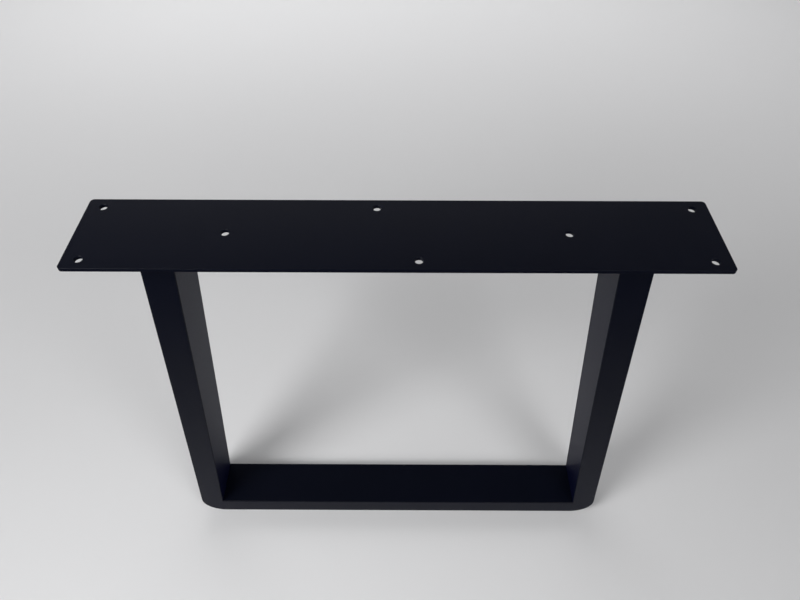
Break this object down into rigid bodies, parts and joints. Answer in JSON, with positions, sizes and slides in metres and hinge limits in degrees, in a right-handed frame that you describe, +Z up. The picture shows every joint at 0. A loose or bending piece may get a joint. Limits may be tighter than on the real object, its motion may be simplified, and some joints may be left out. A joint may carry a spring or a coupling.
{
  "type": "table leg",
  "caption": "Steel table leg: a trapezium frame folded from rectangular tube, its legs leaning in to a flat drilled plate that screws under a table top, powder coated black.",
  "frame": {"origin": "on the floor, under the middle of the foot", "axes": "+X along the plate's length, +Y through the tube's depth, +Z up"},
  "size_m": [0.76, 0.12, 0.71],
  "materials": {
    "black_powder_coat": "smooth satin black powder coat on steel"
  },
  "bodies": {
    "root": {"top_plate": "black_powder_coat", "leg_frame": "black_powder_coat", "left_weld": "black_powder_coat", "right_weld": "black_powder_coat"}
  },
  "joints": []
}
